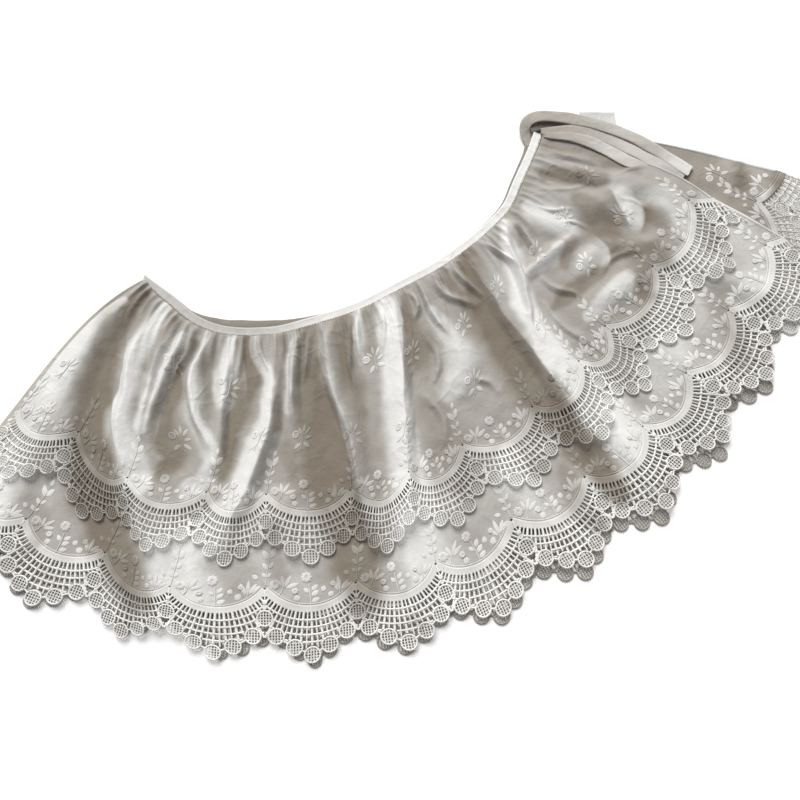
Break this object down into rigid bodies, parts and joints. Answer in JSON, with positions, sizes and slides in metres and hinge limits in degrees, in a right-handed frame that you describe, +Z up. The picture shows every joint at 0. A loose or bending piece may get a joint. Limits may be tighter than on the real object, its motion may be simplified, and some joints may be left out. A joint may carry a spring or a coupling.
{
  "type": "lace shirt extender",
  "caption": "Tiered hem extender of white cotton voile with scalloped lace edges, a narrow waistband and ties, folded in half and laid flat",
  "frame": {"origin": "centre of the overall box, on the surface the garment lies on", "axes": "+X towards the open side with the ties, +Y towards the waistband, +Z up from the surface"},
  "size_m": [0.8486, 0.5468, 0.0273],
  "materials": {
    "waistband_cloth": "matt woven cotton",
    "front_upper_cloth": "matt woven cotton",
    "back_upper_cloth": "matt woven cotton",
    "front_lower_cloth": "matt woven cotton",
    "back_lower_cloth": "matt woven cotton",
    "long_tie_cloth": "matt woven cotton",
    "middle_tie_cloth": "matt woven cotton",
    "lower_tie_cloth": "matt woven cotton",
    "knot_wrap_cloth": "matt woven cotton",
    "care_label_cloth": "smooth woven ribbon"
  },
  "bodies": {
    "root": {"waistband": "waistband_cloth", "front_upper_tier": "front_upper_cloth", "back_upper_tier": "back_upper_cloth", "front_lower_tier": "front_lower_cloth", "back_lower_tier": "back_lower_cloth", "long_tie": "long_tie_cloth", "middle_tie": "middle_tie_cloth", "lower_tie": "lower_tie_cloth", "knot_wrap": "knot_wrap_cloth", "care_label": "care_label_cloth"}
  },
  "joints": []
}
